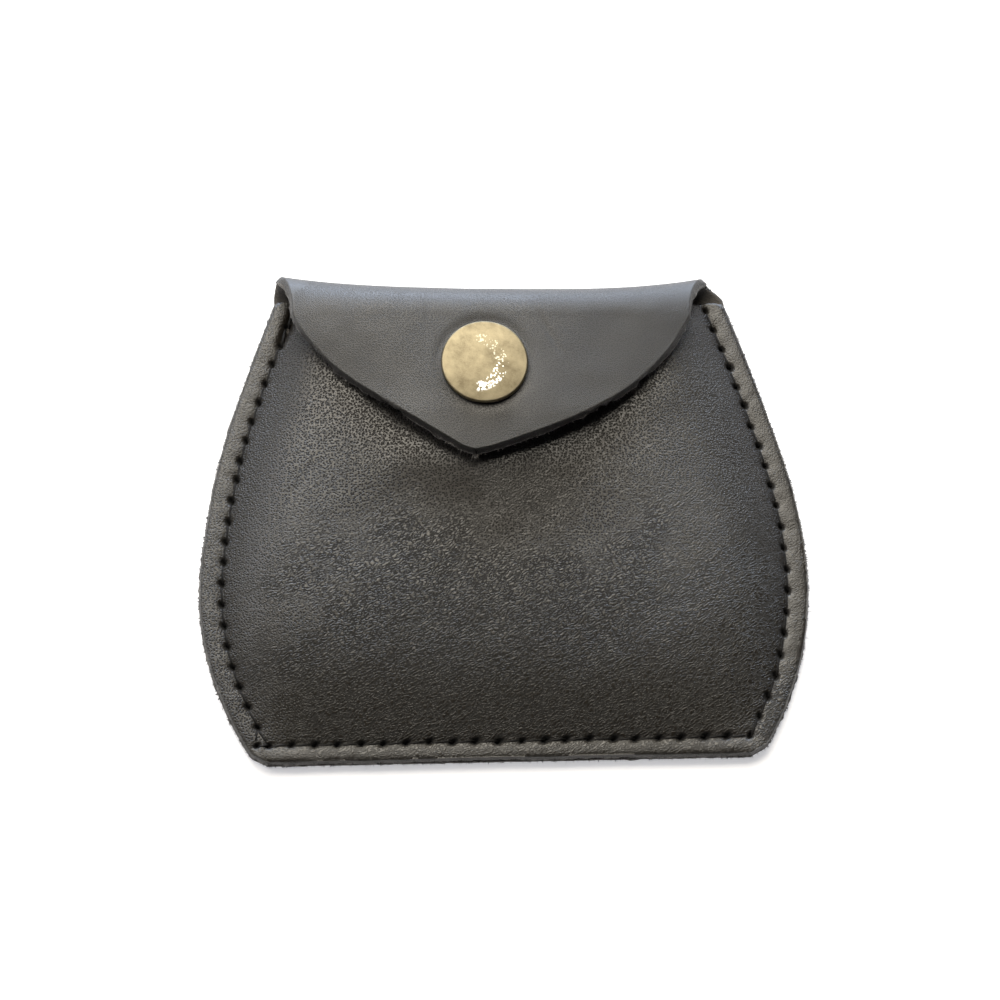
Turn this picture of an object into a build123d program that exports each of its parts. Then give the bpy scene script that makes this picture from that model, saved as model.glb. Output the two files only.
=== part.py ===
from build123d import *
import os

# Leather pouch for guitar picks, lying on its back. All sizes are in millimetres.
# +X is to the right, +Y towards the fold and +Z out of the front.
# The origin is under the middle of the pouch, on the outer face of the back panel.

# Leather
leather = 1.3
pocket_gap = 4.7
snap_stack = 3.0

# Outline of the two sewn panels: half widths at heights along the pouch
side_points = [
    (28.0, 46.0),
    (32.9, 34.5),
    (38.2, 19.0),
    (43.6, -8.5),
    (40.6, -24.8),
    (36.4, -33.2),
    (31.6, -40.0),
]
bottom_left_y = -35.6
bottom_right_y = -34.2
outline_reach = 45.0
corner_cut = 1.6
shoulder_round = 2.0

# Fold and mouth
fold_y = 34.95
hinge_gap = 0.15
mouth_y = 33.6

# Seam
seam_side_inset = 3.1
seam_bottom_inset = 2.4
stitch_pitch = 3.15
hole_radius = 0.45
thread_radius = 0.3
leg_radius = 0.33
thread_clearance = 0.02
groove_width = 1.0
front_groove_depth = 0.35
back_groove_depth = 0.7
seam_end = 0.8

# Bulging pocket
wall_outside_seam = 1.1
pocket_corner_radius = 8.0
belly_round = 5.2

# Flap
flap_left = -31.8
flap_right = 29.9
flap_left_edge = [(-29.4, 26.8), (-24.6, 20.8), (-14.9, 14.2)]
flap_tip = (-4.3, 7.9)
flap_tip_half_width = 1.0
flap_right_edge = [(6.3, 11.4), (19.0, 18.4), (26.4, 27.3)]

# Press stud, size 20
snap_x = -2.9
snap_y = 20.8
cap_radius = 6.25
cap_height = 0.9
cap_wall = 0.3
cap_rim = 0.2
disc_thickness = 0.25
post_radius = 1.25
post_bore = 0.85
post_hole_radius = 1.3
flare_radius = 1.9
flare_thickness = 0.3
socket_radius = 5.3
socket_wall = 0.3
socket_mouth_radius = 2.95
socket_lift = 0.5
spring_wire_radius = 0.25
spring_leg_x = 2.3
spring_leg_end = -3.4
spring_bend_start = 2.0
plate_radius = 4.9
plate_bore = 3.0
plate_thickness = 0.25
stud_flange_radius = 4.8
stud_flange_thickness = 0.4
stud_neck_radius = 1.95
stud_head_radius = 2.25
stud_height = 2.25
stud_wall = 0.35
eyelet_flange_radius = 4.6
eyelet_flange_thickness = 0.35
eyelet_radius = 1.5
eyelet_bore = 1.1
eyelet_height = 1.9
eyelet_hole_radius = 1.55
part_gap = 0.05

# Levels, from the back panel's outer face upwards
back_top = leather
rim_top = 2 * leather
pocket_top = back_top + pocket_gap
front_top = pocket_top + leather
flap_bottom = front_top + snap_stack
flap_top = flap_bottom + leather
lower_hinge_z = leather / 2
upper_hinge_z = flap_bottom + leather / 2
panel_end_y = fold_y - leather / 2 - hinge_gap


def side_curve(side, inset):
    """One side of the outline, from top to bottom; side is 1 for the right and -1 for the left."""
    return Spline(*[(side * (half_width - inset), y) for half_width, y in side_points])


def between(inset, bottom_inset, top_y):
    """The area between the two side curves, above the bottom edge and below top_y."""
    left = side_curve(-1, inset)
    right = side_curve(1, inset)
    sides = make_face([left, right, Line(left @ 0, right @ 0), Line(left @ 1, right @ 1)])
    slab = make_face(Polyline(
        (-outline_reach, bottom_left_y + bottom_inset),
        (outline_reach, bottom_right_y + bottom_inset),
        (outline_reach, top_y),
        (-outline_reach, top_y),
        close=True,
    ))
    return sides & slab


def lowest_corners(shape):
    return shape.vertices().sort_by(Axis.Y)[0:2]


def upright_edges(solid):
    """The edges along Z, from the bottom of the pouch to its fold."""
    return solid.edges().filter_by(Axis.Z).sort_by(Axis.Y)


def seam_edges():
    """The seam's three stretches: down the left side, along the bottom and up the right side."""
    face = between(seam_side_inset, seam_bottom_inset, mouth_y - seam_end)
    left, *_, right = face.edges().sort_by(Axis.X)
    left_corner, right_corner = lowest_corners(face).sort_by(Axis.X)
    return left, Line(left_corner.center(), right_corner.center()), right


def spaced(edge):
    """Evenly spaced holes along an edge, both ends included."""
    count = round(edge.length / stitch_pitch)
    return [edge @ (i / count) for i in range(count + 1)]


def stitch_points():
    """Every hole of the seam in sewing order, with each corner once."""
    left, bottom, right = seam_edges()
    down = sorted(spaced(left), key=lambda p: -p.Y)
    along = sorted(spaced(bottom), key=lambda p: p.X)
    up = sorted(spaced(right), key=lambda p: p.Y)
    return down[:-1] + along[:-1] + up


def stitch_holes(low, high):
    """One round hole for each stitch, from level low to level high."""
    height = high - low
    return [
        Pos(p.X, p.Y, low + height / 2) * Cylinder(hole_radius, height)
        for p in stitch_points()
    ]


def groove(low, high):
    """The shallow channel that the thread lies in."""
    points = [(p.X, p.Y) for p in stitch_points()]
    channel = trace(Polyline(*points), line_width=groove_width)
    return extrude(Pos(0, 0, low) * channel, high - low)


def bar(a, b, z):
    """One stitch: a thread lying from hole a to hole b."""
    start = Vector(a.X, a.Y, z)
    run = Vector(b.X, b.Y, z) - start
    return Plane(origin=start, z_dir=run) * Cylinder(
        thread_radius, run.length, align=(Align.CENTER, Align.CENTER, Align.MIN)
    )


def leg(p, low, high):
    """The thread's leg inside a hole."""
    return Pos(p.X, p.Y, (low + high) / 2) * Cylinder(leg_radius, high - low)


def sewn_thread(bar_z, low, high):
    points = stitch_points()
    bars = [bar(a, b, bar_z) for a, b in zip(points, points[1:])]
    legs = [leg(p, low, high) for p in points]
    return legs[0].fuse(*legs[1:], *bars)


def at_snap(shape):
    return Pos(snap_x, snap_y, 0) * shape


def turned(points):
    """A solid of revolution about +Z from (radius, z) corners, placed at the press stud."""
    profile = make_face(Polyline(*[(r, 0, z) for r, z in points], close=True))
    return at_snap(revolve(profile, Axis.Z))


def snap_hole(radius, low, high):
    return at_snap(Pos(0, 0, (low + high) / 2) * Cylinder(radius, high - low))


def back_panel():
    panel = extrude(between(0, 0, panel_end_y), leather)
    panel = chamfer(upright_edges(panel)[:2], corner_cut)
    panel = fillet(upright_edges(panel)[-2:], shoulder_round)
    panel = panel - stitch_holes(-1, back_top + 1)
    return panel - groove(-1, back_groove_depth)


def pouch_tray(extra_inset, low, high, top_y, rounding):
    """A solid with the shape of the bulging pocket, closed and rounded on top."""
    inset = seam_side_inset + wall_outside_seam + extra_inset
    bottom_inset = seam_bottom_inset + wall_outside_seam + extra_inset
    tray = extrude(Pos(0, 0, low) * between(inset, bottom_inset, top_y), high - low)
    tray = fillet(upright_edges(tray)[:2], pocket_corner_radius - extra_inset)
    rim = tray.faces().sort_by(Axis.Z)[-1].edges().sort_by(Axis.Y)[:-1]
    return fillet(rim, rounding)


def front_panel():
    rim = extrude(Pos(0, 0, back_top) * between(0, 0, mouth_y), leather)
    rim = chamfer(upright_edges(rim)[:2], corner_cut)
    outside = pouch_tray(0, back_top, front_top, mouth_y + 6, belly_round)
    inside = pouch_tray(leather, back_top - 1, pocket_top, mouth_y + 9, belly_round - leather)
    past_mouth = Pos(0, mouth_y + 10, 0) * Box(100, 20, 40)
    panel = rim + (outside - past_mouth)
    panel = panel - inside
    panel = panel - stitch_holes(0, rim_top + 1)
    panel = panel - groove(rim_top - front_groove_depth, rim_top + 1)
    return panel - snap_hole(eyelet_hole_radius, pocket_top - 1, front_top + 1)


def fold_strip():
    """The stretch of leather between the two bends, with a round edge about each bend's axis."""
    height = upper_hinge_z - lower_hinge_z
    section = Plane.YZ * SlotCenterToCenter(height, leather, rotation=90)
    strip = extrude(section, flap_right - flap_left)
    return Pos(flap_left, fold_y, (lower_hinge_z + upper_hinge_z) / 2) * strip


def flap():
    left_corner = (flap_left, panel_end_y)
    right_corner = (flap_right, panel_end_y)
    tip_left = (flap_tip[0] - flap_tip_half_width, flap_tip[1])
    tip_right = (flap_tip[0] + flap_tip_half_width, flap_tip[1])
    left = Spline(left_corner, *flap_left_edge, tip_left)
    right = Spline(tip_right, *flap_right_edge, right_corner)
    face = make_face([left, Line(tip_left, tip_right), right, Line(right_corner, left_corner)])
    sheet = extrude(Pos(0, 0, flap_bottom) * face, leather)
    return sheet - snap_hole(post_hole_radius, flap_bottom - 1, flap_top + 1)


def needle_thread():
    bar_z = rim_top - front_groove_depth + thread_radius + thread_clearance
    return sewn_thread(bar_z, back_top + part_gap, bar_z)


def bobbin_thread():
    bar_z = back_groove_depth - thread_radius - thread_clearance
    return sewn_thread(bar_z, bar_z, back_top - part_gap)


def cap_shell():
    top = flap_top + cap_height
    inner = cap_radius - cap_wall
    shoulder = 0.72 * cap_radius
    return turned([
        (0, top),
        (shoulder, top - 0.12),
        (cap_radius - 0.35, top - 0.3),
        (cap_radius, flap_top + cap_rim),
        (cap_radius - 0.1, flap_top),
        (inner - 0.1, flap_top),
        (inner, flap_top + cap_rim),
        (inner - 0.3, top - 0.3 - cap_wall),
        (shoulder, top - 0.12 - cap_wall),
        (0, top - cap_wall),
    ])


def cap_post():
    """The disc under the cap, its hollow post and the flare that holds the socket."""
    ceiling = flap_bottom - socket_wall
    disc_radius = cap_radius - cap_wall - 0.1 - part_gap
    return turned([
        (post_bore, flap_top + disc_thickness),
        (disc_radius - 0.1, flap_top + disc_thickness),
        (disc_radius, flap_top),
        (post_radius, flap_top),
        (post_radius, ceiling),
        (flare_radius, ceiling),
        (flare_radius, ceiling - flare_thickness),
        (post_bore, ceiling - flare_thickness),
    ])


def socket_cup():
    low = front_top + socket_lift
    inner = socket_radius - socket_wall
    return turned([
        (post_hole_radius, flap_bottom),
        (socket_radius - 0.3, flap_bottom),
        (socket_radius, flap_bottom - 0.3),
        (socket_radius, low + 0.2),
        (socket_radius - 0.2, low),
        (socket_mouth_radius + 0.1, low),
        (socket_mouth_radius, low + 0.1),
        (socket_mouth_radius, low + socket_wall),
        (inner, low + socket_wall),
        (inner, flap_bottom - socket_wall),
        (post_hole_radius, flap_bottom - socket_wall),
    ])


def spring_level():
    return front_top + socket_lift + socket_wall + part_gap + spring_wire_radius


def socket_spring():
    """A hairpin of wire whose two legs grip the stud's neck."""
    a = (-spring_leg_x, spring_leg_end)
    b = (-spring_leg_x, spring_bend_start)
    top = (0, spring_bend_start + spring_leg_x)
    c = (spring_leg_x, spring_bend_start)
    d = (spring_leg_x, spring_leg_end)
    path = Line(a, b) + ThreePointArc(b, top, c) + Line(c, d)
    section = Plane(origin=path @ 0, z_dir=path % 0) * Circle(spring_wire_radius)
    wire = sweep(section, path=path)
    return at_snap(Pos(0, 0, spring_level()) * wire)


def socket_plate():
    low = spring_level() + spring_wire_radius + part_gap
    return turned([
        (plate_bore, low),
        (plate_radius, low),
        (plate_radius, low + plate_thickness),
        (plate_bore, low + plate_thickness),
    ])


def stud():
    """A pressed flange with a hollow, bulbous head."""
    flange_top = front_top + stud_flange_thickness
    top = front_top + stud_height
    bore = stud_neck_radius - stud_wall
    return turned([
        (bore, front_top),
        (stud_flange_radius, front_top),
        (stud_flange_radius, front_top + 0.2),
        (stud_flange_radius - 0.4, flange_top),
        (stud_neck_radius + 0.3, flange_top),
        (stud_neck_radius, flange_top + 0.3),
        (stud_neck_radius, top - 0.85),
        (stud_head_radius, top - 0.55),
        (stud_head_radius - 0.15, top - 0.25),
        (stud_neck_radius - 0.35, top),
        (0, top),
        (0, top - stud_wall),
        (bore, top - stud_wall),
    ])


def stud_eyelet():
    """The hollow rivet that holds the stud, with its flange inside the pocket."""
    top = front_top + eyelet_height - stud_wall
    low = pocket_top - eyelet_flange_thickness
    return turned([
        (eyelet_bore, low),
        (eyelet_flange_radius - 0.2, low),
        (eyelet_flange_radius, low + 0.15),
        (eyelet_flange_radius, pocket_top),
        (eyelet_radius, pocket_top),
        (eyelet_radius, top),
        (eyelet_bore, top),
    ])


sub_parts = {
    "back_panel": back_panel,
    "front_panel": front_panel,
    "fold_strip": fold_strip,
    "flap": flap,
    "needle_thread": needle_thread,
    "bobbin_thread": bobbin_thread,
    "cap_shell": cap_shell,
    "cap_post": cap_post,
    "socket_cup": socket_cup,
    "socket_plate": socket_plate,
    "socket_spring": socket_spring,
    "stud": stud,
    "stud_eyelet": stud_eyelet,
}

os.makedirs("parts", exist_ok=True)
for name, make in sub_parts.items():
    export_step(make(), f"parts/{name}.step")
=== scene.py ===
import math

import bmesh
import bpy
import numpy as np
from mathutils import Matrix, Vector


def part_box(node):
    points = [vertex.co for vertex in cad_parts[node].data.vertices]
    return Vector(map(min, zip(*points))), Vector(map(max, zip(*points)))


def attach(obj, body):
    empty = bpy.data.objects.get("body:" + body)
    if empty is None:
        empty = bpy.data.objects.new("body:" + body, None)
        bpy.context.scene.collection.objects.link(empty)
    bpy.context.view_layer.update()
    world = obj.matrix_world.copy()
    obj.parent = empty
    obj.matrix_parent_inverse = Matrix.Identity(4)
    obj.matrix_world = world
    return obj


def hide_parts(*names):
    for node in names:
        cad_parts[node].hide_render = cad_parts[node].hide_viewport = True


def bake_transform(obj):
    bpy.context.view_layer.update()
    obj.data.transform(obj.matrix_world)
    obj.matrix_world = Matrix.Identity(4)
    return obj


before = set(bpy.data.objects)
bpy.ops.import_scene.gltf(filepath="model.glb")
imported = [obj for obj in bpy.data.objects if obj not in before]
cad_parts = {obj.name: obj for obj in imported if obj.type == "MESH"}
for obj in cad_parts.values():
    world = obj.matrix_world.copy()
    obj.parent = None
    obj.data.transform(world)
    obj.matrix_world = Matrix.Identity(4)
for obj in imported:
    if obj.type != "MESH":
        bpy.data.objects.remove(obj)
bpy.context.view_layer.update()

# A leather pouch for guitar picks. Shapes are worked out in millimetres, and a mesh is made in metres.
MM = 0.001


# ------ sizes from the frame

SAME_LEVEL = 0.02


def node_points(name):
    """A CAD node's vertices in millimetres."""
    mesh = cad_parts[name].data
    co = np.zeros(len(mesh.vertices) * 3)
    mesh.vertices.foreach_get("co", co)
    return co.reshape(-1, 3) / MM


def box_mm(name):
    low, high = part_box(name)
    return np.array(low) / MM, np.array(high) / MM


def convex_outline(points):
    """The convex outline of some points in plan, counter-clockwise."""
    pts = sorted(set(map(tuple, np.round(points[:, :2], 3))))

    def chain(seq):
        out = []
        for p in seq:
            while len(out) > 1 and np.cross(np.subtract(out[-1], out[-2]), np.subtract(p, out[-2])) <= 1e-3:
                out.pop()
            out.append(p)
        return out[:-1]

    return np.array(chain(pts) + chain(pts[::-1]))


def sides_of(outline, middle=0.0):
    """Left and right edge of an outline as (heights, x) tables, without the level top edge."""
    top = outline[:, 1].max()
    tables = []
    for side in (-1, 1):
        part = outline[(outline[:, 0] - middle) * side > 0]
        low = part[part[:, 1] < top - SAME_LEVEL]
        end = part[part[:, 1] >= top - SAME_LEVEL]
        end = end[np.argmax(end[:, 0] * side)][None]
        part = np.vstack([low[np.argsort(low[:, 1])], end])
        tables.append((part[:, 1], part[:, 0]))
    return tables


_, back_high = box_mm("back_panel")
_, front_high = box_mm("front_panel")
flap_low, flap_high = box_mm("flap")
strip_low, strip_high = box_mm("fold_strip")
cap_low, cap_high = box_mm("cap_shell")

leather = back_high[2]
rim_top = 2 * leather
front_top = front_high[2]
mouth_y = front_high[1]
snap = (cap_low + cap_high)[:2] / 2
lower_axis = np.array([0, (strip_low + strip_high)[1] / 2, leather / 2])
upper_axis = np.array([0, lower_axis[1], (flap_low + flap_high)[2] / 2])

panel_left, panel_right = sides_of(convex_outline(node_points("back_panel")))

# The left side is a little flatter than the right where it is widest.
FLAT_DEPTH = 0.5
FLAT_Y = -1
FLAT_REACH = 9
flattened = FLAT_DEPTH * np.exp(-((panel_left[0] - FLAT_Y) / FLAT_REACH) ** 2)
panel_left = (panel_left[0], panel_left[1] + flattened)

flap_outline = convex_outline(node_points("flap"))
tip_x = flap_outline[flap_outline[:, 1] < flap_low[1] + 0.1][:, 0].mean()
flap_left, flap_right = sides_of(flap_outline, tip_x)


def left_x(y):
    return np.interp(y, *panel_left)


def right_x(y):
    return np.interp(y, *panel_right)


def bottom_y(x):
    """The bottom edge, which rises a little to the right."""
    return np.interp(x, [panel_left[1][0], panel_right[1][0]], [panel_left[0][0], panel_right[0][0]])


# ------ noise for shapes

NOISE_CELLS = 64


def lattice_noise(x, y, size, seed):
    """Smooth noise from -1 to 1 with lumps of the given size."""
    rng = np.random.RandomState(seed)
    table = rng.uniform(-1, 1, (NOISE_CELLS, NOISE_CELLS))
    x, y = np.asarray(x, float) / size, np.asarray(y, float) / size
    i, j = np.floor(x).astype(int), np.floor(y).astype(int)
    u, v = eased(x - i), eased(y - j)
    i0, i1, j0, j1 = (n % NOISE_CELLS for n in (i, i + 1, j, j + 1))
    a = table[i0, j0] * (1 - u) + table[i1, j0] * u
    b = table[i0, j1] * (1 - u) + table[i1, j1] * u
    return a * (1 - v) + b * v


def eased(t):
    """From 0 to 1 with a soft start and end."""
    t = np.clip(t, 0, 1)
    return t * t * (3 - 2 * t)


def turned(x, y, degrees):
    """The place seen in axes turned by some degrees."""
    c, s = math.cos(math.radians(degrees)), math.sin(math.radians(degrees))
    return x * c + y * s, -x * s + y * c


def crease(x, y, at, degrees, depth, width, length):
    """A shallow straight crease in the leather, as a height."""
    u, v = turned(x - at[0], y - at[1], degrees)
    return -depth * np.exp(-(v / width) ** 2 - (u / length) ** 2)


# ------ the seam

SIDE_INSET = 3.1
BOTTOM_INSET = 2.4
STITCH_PITCH = 3.15
SEAM_END = 0.8
CUT_CORNER = 2.2
HOLE_WANDER = 0.07
HOLE_LONG = 0.52
HOLE_SHORT = 0.36
HOLE_SLANT = 32
HOLE_DEPTH = 0.85
HOLE_WINDOW = 4
DIMPLE = 1.2


def smooth_side(side, y):
    """A side of the panel without its cut corner, for the seam."""
    heights, xs = panel_left if side < 0 else panel_right
    keep = heights > heights[0] + CUT_CORNER
    heights, xs = heights[keep], xs[keep]
    slope = (xs[0] - xs[1]) / (heights[0] - heights[1])
    below = xs[0] + slope * (y - heights[0])
    return np.where(y < heights[0], below, np.interp(y, heights, xs))


def even_points(curve, count):
    """count + 1 points evenly spaced along a fine polyline."""
    steps = np.r_[0, np.cumsum(np.linalg.norm(np.diff(curve, axis=0), axis=1))]
    at = np.linspace(0, steps[-1], count + 1)
    return np.c_[np.interp(at, steps, curve[:, 0]), np.interp(at, steps, curve[:, 1])]


def seam_points():
    """The seam's holes in plan, down the left, along the bottom and up the right,
    and the number of the hole at the left corner."""
    heights = np.linspace(mouth_y - SEAM_END, panel_left[0][0] + BOTTOM_INSET, 400)
    left = np.c_[smooth_side(-1, heights) + SIDE_INSET, heights]
    right = np.c_[smooth_side(1, heights) - SIDE_INSET, heights]
    left, right = (side[side[:, 1] >= bottom_y(side[:, 0]) + BOTTOM_INSET] for side in (left, right))
    stretches = []
    for curve in (left, np.array([left[-1], right[-1]]), right[::-1]):
        length = np.linalg.norm(np.diff(curve, axis=0), axis=1).sum()
        stretches.append(even_points(curve, round(length / STITCH_PITCH)))
    return np.vstack([stretches[0][:-1], stretches[1][:-1], stretches[2]]), len(stretches[0]) - 1


holes, corner = seam_points()
hole_rng = np.random.RandomState(5)
holes[1:-1] += hole_rng.normal(0, HOLE_WANDER, (len(holes) - 2, 2))
along = np.gradient(holes, axis=0)
along /= np.linalg.norm(along, axis=1)[:, None]
hole_size = hole_rng.uniform(0.88, 1.15, len(holes))
hole_size[[0, -1]] = 0.72

# The seam was started over at its left corner, with one more hole outside it.
EXTRA_STEP = 1.6
stitch_ends = [(n, n + 1) for n in range(len(holes) - 1)] + [(corner - 1, len(holes)), (len(holes), corner)]
holes = np.vstack([holes, holes[corner] - (EXTRA_STEP, 0)])
along = np.vstack([along, (1, 0)])
hole_size = np.r_[hole_size, 0.9]


def hole_shape(x, y):
    """(how deep in a hole, how near to a hole), both from 0 to 1."""
    deep = np.zeros(np.shape(x))
    near = np.zeros(np.shape(x))
    for (hx, hy), (tx, ty), size in zip(holes, along, hole_size):
        dx, dy = x - hx, y - hy
        close = (np.abs(dx) < HOLE_WINDOW) & (np.abs(dy) < HOLE_WINDOW)
        if not close.any():
            continue
        angle = math.degrees(math.atan2(ty, tx)) + HOLE_SLANT
        u, v = turned(dx[close], dy[close], angle)
        u, v = u / (HOLE_LONG * size), v / (HOLE_SHORT * size)
        deep[close] = np.maximum(deep[close], np.exp(-(u ** 2 + v ** 2) ** 2))
        near[close] = np.maximum(near[close], np.exp(-(dx[close] ** 2 + dy[close] ** 2) / DIMPLE ** 2))
    return deep, near


def seam_distance(x, y):
    """Distance inside the seam, negative on the rim, as three values: from the left, right and bottom."""
    return (
        x - smooth_side(-1, y) - SIDE_INSET,
        smooth_side(1, y) - SIDE_INSET - x,
        y - bottom_y(x) - BOTTOM_INSET,
    )


def inside_seam(x, y):
    """Distance inside the nearest stretch of the seam, negative on the rim."""
    return np.minimum.reduce(seam_distance(x, y))


def seam_line(x, y):
    """1 on the seam and 0 away from it."""
    return np.exp(-(inside_seam(x, y) / 0.5) ** 2)


def seam_reach(y):
    """1 where the seam runs and 0 above its ends."""
    return 1 / (1 + np.exp((y - (mouth_y - SEAM_END + 0.6)) * 4))


def edge_roll(x, y):
    """How far a grain side has rolled off towards the cut edge."""
    left, right, bottom = seam_distance(x, y)
    edge = np.minimum.reduce([left + SIDE_INSET, right + SIDE_INSET, bottom + BOTTOM_INSET])
    return 0.30 * np.exp(-np.maximum(edge, 0) / 0.22)


# ------ heights of the leather

FRONT_GROOVE = 0.12
FRONT_DIMPLE = 0.09
BACK_GROOVE = 0.20
BACK_DIMPLE = 0.12
RIM_PUFF = 0.06
TACK_DEPTH = 0.75
TACK_LENGTH = 7.5
TIP_SWELL = 1.1


def rise(d, reach=4.3):
    """How far the pocket has risen at a distance inside the seam, from 0 to 1."""
    return 1 - np.exp(-(np.maximum(d, 0) / reach) ** 1.25)


def snap_distance(x, y):
    return np.hypot(x - snap[0], y - snap[1])


def belly(x, y):
    """The grain side of the front panel without seam detail."""
    left, right, bottom = seam_distance(x, y)
    full = rise(left, 5.0) * rise(right, 5.0) * rise(bottom, 10.0)
    u, v = turned(x, y, 28)
    sway = 0.22 * lattice_noise(x, y, 17, 3) + 0.10 * lattice_noise(u / 2.2, v, 4.5, 8)
    free = 1 - np.exp(-(snap_distance(x, y) / 9) ** 4)
    under_tip = TIP_SWELL * np.exp(-((x - tip_x) / 15) ** 2 - ((y - flap_low[1] - 0.5) / 6.5) ** 2)
    pressed = crease(x, y, (-29.0, 4.5), 56, 0.13, 0.9, 6.5)
    return rim_top + (front_top - rim_top) * full + (sway + under_tip) * full * free + pressed


def front_height(x, y):
    """The grain side of the front panel, with a deeper pull where the seam is tacked at its upper left."""
    inside = inside_seam(x, y)
    deep, near = hole_shape(x, y)
    rim_puff = np.where(inside < 0, np.sin(np.clip(-inside / SIDE_INSET, 0, 1) * math.pi), 0)
    tack = eased((y - mouth_y + TACK_LENGTH) / 2.5) * (x < 0)
    beside = np.exp(-((seam_distance(x, y)[0] - 0.25) / 0.75) ** 2)
    z = belly(x, y) - TACK_DEPTH * tack * beside * seam_reach(y)
    z = z + RIM_PUFF * rim_puff - FRONT_GROOVE * seam_line(x, y) * seam_reach(y)
    z = z - FRONT_DIMPLE * near - HOLE_DEPTH * deep
    z = z + 0.03 * lattice_noise(x, y, 1.6, 21) * np.exp(-((inside + 1.5) / 2.5) ** 2)
    return z - edge_roll(x, y)


def back_height(x, y):
    """The grain side of the back panel, which lies on the floor."""
    deep, near = hole_shape(x, y)
    z = BACK_GROOVE * seam_line(x, y) * seam_reach(y) + BACK_DIMPLE * near + HOLE_DEPTH * deep
    return z + edge_roll(x, y)


FOLD_ARCH = 5.0
REST_SOFTNESS = 0.3
FOLD_HALF = (strip_high[0] - strip_low[0]) / 2


def toward_ends(x):
    """0 in the middle of the fold, 1 at its ends."""
    return (np.abs(x) / FOLD_HALF) ** 2.5


def arch(x):
    """How much lower the flap lies beside the press stud."""
    off = np.maximum(np.abs(x - snap[0]) - 6, 0)
    return np.where(x < 0, 1.0, 0.82) * FOLD_ARCH * (off / (FOLD_HALF - 3)) ** 1.6


def flap_middle(x, y):
    """The middle of the flap's leather, hanging from the fold and the snap until it rests on the belly."""
    off_tip = np.maximum(snap[1] - 6.3 - y, 0)
    free = upper_axis[2] - arch(x) - 0.04 * off_tip ** 1.15 * off_tip / (off_tip + 2)
    free = free - 1.1 * eased((-x - 6) / 24) * eased((28.5 - y) / 14)
    rest = belly(x, y) + leather / 2 + 0.10 + 0.5 * eased((x - 4) / 16)
    return np.logaddexp(free / REST_SOFTNESS, rest / REST_SOFTNESS) * REST_SOFTNESS


def fold_out(x):
    """How far the middle of the leather stands out at the fold, which is pinched in its middle."""
    return lower_axis[1] - 1.3 + np.where(x > 0, 3.15, 2.6) * toward_ends(x)


# ------ grids

def growing(limit, coarse, fine, seam):
    """Distances from an edge, closer together at the edge and at the seam."""
    out = [0.0]
    while out[-1] < limit:
        d = out[-1]
        step = coarse - (coarse - fine) * max(math.exp(-((d - seam) / 0.8) ** 2), math.exp(-d / 0.35))
        out.append(d + step)
    return np.array(out[:-1])


COARSE = 0.32
FINE = 0.14
side_insets = growing(5.5, COARSE, FINE, SIDE_INSET)
bottom_insets = growing(5.0, COARSE, FINE, BOTTOM_INSET)
middle_count = 165


def columns(low, high):
    """Across one row: close at both edges, even between. low and high may be arrays of rows."""
    low, high = np.atleast_1d(low)[:, None], np.atleast_1d(high)[:, None]
    room = np.minimum(1.0, (high - low) / (4 * side_insets[-1]))
    a, b = low + side_insets * room, high - side_insets[::-1] * room
    t = np.linspace(0, 1, middle_count + 2)[1:-1]
    middle = a[:, -1:] + (b[:, :1] - a[:, -1:]) * t
    return np.hstack([a, middle, b])


def panel_grid(top_y, pitch):
    """x and y of a sewn panel's points, in rows from the bottom edge to top_y."""
    rest = np.arange(bottom_insets[-1] + pitch, top_y - bottom_y(0) - pitch / 2, pitch)
    insets = np.r_[bottom_insets, rest, top_y - bottom_y(0)]
    share = np.clip((insets - bottom_insets[-1]) / (insets[-1] - bottom_insets[-1]), 0, 1)
    y = np.repeat((insets + bottom_y(0))[:, None], 2 * len(side_insets) + middle_count, axis=1)
    for _ in range(3):
        x = np.vstack([columns(left_x(r[0]), right_x(r[-1])) for r in y])
        y = bottom_y(x) + insets[:, None] - share[:, None] * (bottom_y(x) - bottom_y(0))
    return x, y


def outward_noise(x, y, seed):
    """A cut edge is never quite even."""
    return 0.045 * lattice_noise(x, y, 1.1, seed) + 0.10 * lattice_noise(x, y, 5.0, seed + 1)


# ------ meshes

def new_mesh(name, points, faces, materials, indices, attributes):
    mesh = bpy.data.meshes.new(name)
    mesh.from_pydata((np.asarray(points) * MM).tolist(), [], faces)
    for m in materials:
        mesh.materials.append(m)
    mesh.polygons.foreach_set("material_index", np.asarray(indices, np.int32))
    mesh.polygons.foreach_set("use_smooth", np.ones(len(faces), bool))
    for label, values in attributes.items():
        kind = "FLOAT_VECTOR" if np.ndim(values) == 2 else "FLOAT"
        layer = mesh.attributes.new(label, kind, "POINT")
        field = "vector" if kind == "FLOAT_VECTOR" else "value"
        layer.data.foreach_set(field, np.asarray(values, np.float32).ravel())
    mesh.update()
    obj = bpy.data.objects.new(name, mesh)
    bpy.context.scene.collection.objects.link(obj)
    return obj


def ring_of(rows, cols):
    """The grid positions round a grid's border, counter-clockwise."""
    border = [(0, j) for j in range(cols)]
    border += [(i, cols - 1) for i in range(1, rows)]
    border += [(rows - 1, j) for j in range(cols - 2, -1, -1)]
    return border + [(i, 0) for i in range(rows - 2, 0, -1)]


EDGE_ROWS = 5
UNDER_STEP = 3


def grid_quads(index):
    """The quads of a grid of point numbers."""
    corners = [index[:-1, :-1], index[:-1, 1:], index[1:, 1:], index[1:, :-1]]
    return np.stack(corners, -1).reshape(-1, 4)


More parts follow.
